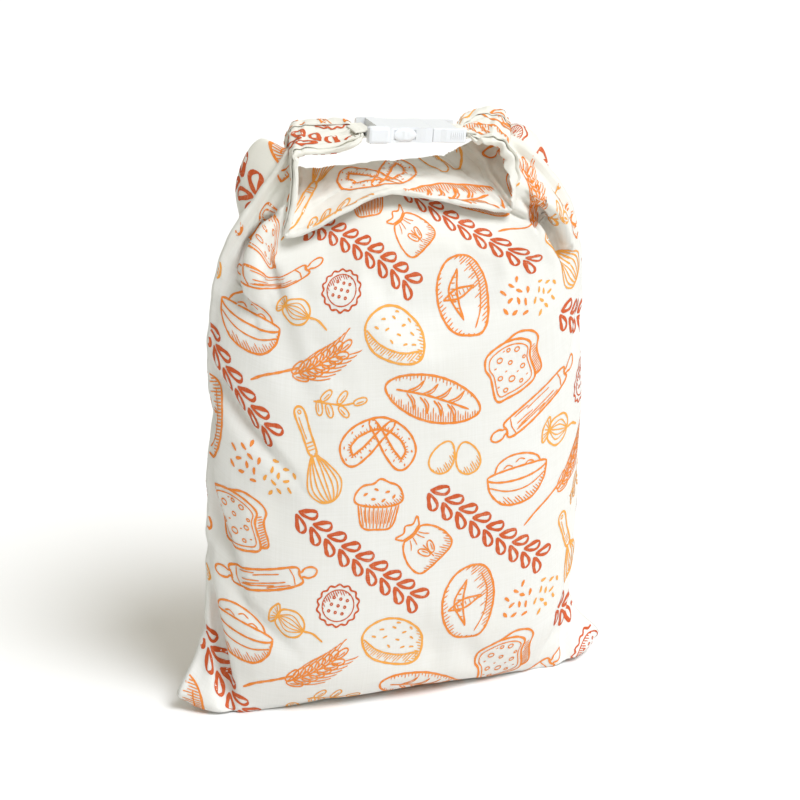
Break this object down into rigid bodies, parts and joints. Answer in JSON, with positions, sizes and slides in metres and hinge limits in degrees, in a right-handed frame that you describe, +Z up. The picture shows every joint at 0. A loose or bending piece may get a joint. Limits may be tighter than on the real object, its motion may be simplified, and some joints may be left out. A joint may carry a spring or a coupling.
{
  "type": "roll-top bread bag",
  "caption": "Filled cotton bread bag, mouth rolled down and its ends clipped together by a side-release buckle to make a carrying loop.",
  "frame": {"origin": "on the ground, under the middle of the bounding box", "axes": "+Z up, -Y towards the front panel, over which the mouth is rolled, +X to the right as seen from the front"},
  "size_m": [0.333, 0.108, 0.4256],
  "materials": {
    "cotton": "cream cotton with a thin wax dressing, printed in orange",
    "buckle": "white moulded acetal, lightly glossy"
  },
  "bodies": {
    "root": {"bag": "cotton", "buckle_socket": "buckle", "buckle_prongs": "buckle"}
  },
  "joints": []
}
